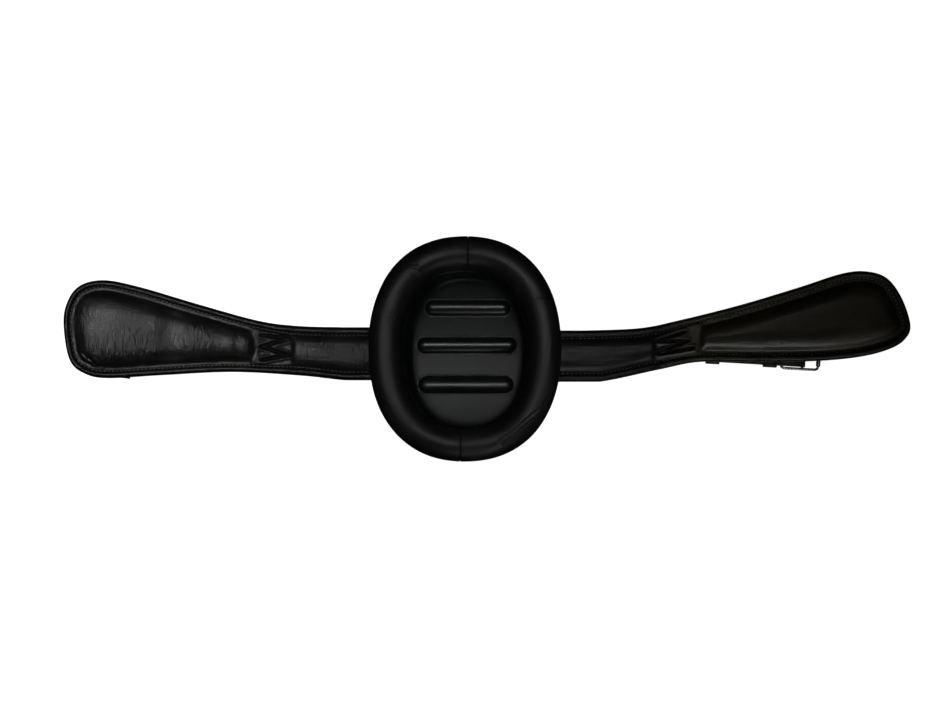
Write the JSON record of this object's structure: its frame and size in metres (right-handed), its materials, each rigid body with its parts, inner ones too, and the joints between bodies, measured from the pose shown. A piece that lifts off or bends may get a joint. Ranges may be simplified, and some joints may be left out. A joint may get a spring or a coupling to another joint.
{
  "type": "boxing belly guard",
  "caption": "Padded oval boxing belly guard: a ribbed hard cup with a leather rim roll on a hinged padded hip belt with a strap and roller buckle.",
  "frame": {"origin": "middle of the flat at the foot of the cup's dome, which the guard rests on", "axes": "+X along the belt towards the buckle side, +Y towards the top of the cup, +Z out of the open bowl towards the wearer"},
  "size_m": [0.7802, 0.2054, 0.066],
  "materials": {
    "black_leather": "soft satin",
    "dark_leather": "smooth satin",
    "strap_leather": "satin",
    "shell": "matte",
    "foam": "matte",
    "thread": "matte",
    "steel": "polished"
  },
  "bodies": {
    "cup": {"cup_shell": "shell", "cup_foam": "foam", "front_cover": "black_leather", "rim_core": "foam", "rim_cover_left": "black_leather", "rim_cover_right": "black_leather", "left_tab": "black_leather", "right_tab": "black_leather"},
    "left_arm": {"left_arm_back": "black_leather", "left_arm_foam": "foam", "left_arm_face": "black_leather", "left_arm_bead_upper": "black_leather", "left_arm_bead_lower": "black_leather"},
    "right_arm": {"right_arm_back": "black_leather", "right_arm_foam": "foam", "right_arm_face": "black_leather", "right_arm_bead_upper": "black_leather", "right_arm_bead_lower": "black_leather"},
    "left_wing": {"left_wing_back": "black_leather", "left_wing_foam": "foam", "left_wing_face": "black_leather", "left_wing_bead": "black_leather", "left_tack_panel": "black_leather", "left_tack_thread": "thread", "billet_anchor": "strap_leather"},
    "right_wing": {"right_wing_back": "dark_leather", "right_wing_foam": "foam", "right_wing_face": "dark_leather", "right_wing_bead": "dark_leather", "right_tack_panel": "black_leather", "right_tack_thread": "thread", "buckle_strap_anchor": "strap_leather"},
    "billet": {"billet_strap": "strap_leather"},
    "buckle_strap": {"buckle_strap": "strap_leather", "fixed_keeper": "strap_leather"},
    "sliding_keeper": {"sliding_keeper": "strap_leather"},
    "buckle_frame": {"buckle_frame": "steel"},
    "buckle_tongue": {"buckle_tongue": "steel"},
    "buckle_roller": {"buckle_roller": "steel"}
  },
  "joints": [
    {"name": "left_arm_bend", "type": "hinge", "parent": "cup", "child": "left_arm", "pos_m": [-0.092, 0, 0.0296], "axis": [0, 1, 0], "range_deg": [-8, 50]},
    {"name": "right_arm_bend", "type": "hinge", "parent": "cup", "child": "right_arm", "pos_m": [0.092, 0, 0.0296], "axis": [0, -1, 0], "range_deg": [-8, 50]},
    {"name": "left_wing_fold", "type": "hinge", "parent": "left_arm", "child": "left_wing", "pos_m": [-0.1592, 0, 0.0139], "axis": [0, 1, 0], "range_deg": [-10, 45]},
    {"name": "right_wing_fold", "type": "hinge", "parent": "right_arm", "child": "right_wing", "pos_m": [0.1748, 0, 0.0181], "axis": [0, -1, 0], "range_deg": [-10, 45]},
    {"name": "billet_unfold", "type": "hinge", "parent": "left_wing", "child": "billet", "pos_m": [-0.346, -0.0105, 0.00315], "axis": [-0.0872, 0.9962, 0], "range_deg": [0, 170]},
    {"name": "buckle_strap_swing", "type": "hinge", "parent": "right_wing", "child": "buckle_strap", "pos_m": [0.214, 0.0014, 0.0057], "axis": [0.0576, 0.9983, 0], "range_deg": [0, 100]},
    {"name": "keeper_slide", "type": "slide", "parent": "buckle_strap", "child": "sliding_keeper", "axis": [0.9983, -0.0576, 0], "range_m": [0, 0.036]},
    {"name": "frame_swing", "type": "hinge", "parent": "buckle_strap", "child": "buckle_frame", "pos_m": [0.31184, -0.00424, 0.004], "axis": [-0.0576, -0.9983, 0], "range_deg": [0, 14]},
    {"name": "tongue_swing", "type": "hinge", "parent": "buckle_frame", "child": "buckle_tongue", "pos_m": [0.31184, -0.00424, 0.004], "axis": [0.0576, 0.9983, 0], "range_deg": [0, 100]},
    {"name": "roller_spin", "type": "hinge", "parent": "buckle_frame", "child": "buckle_roller", "pos_m": [0.32651, -0.00509, 0.004], "axis": [0.0576, 0.9983, 0], "continuous": true}
  ]
}
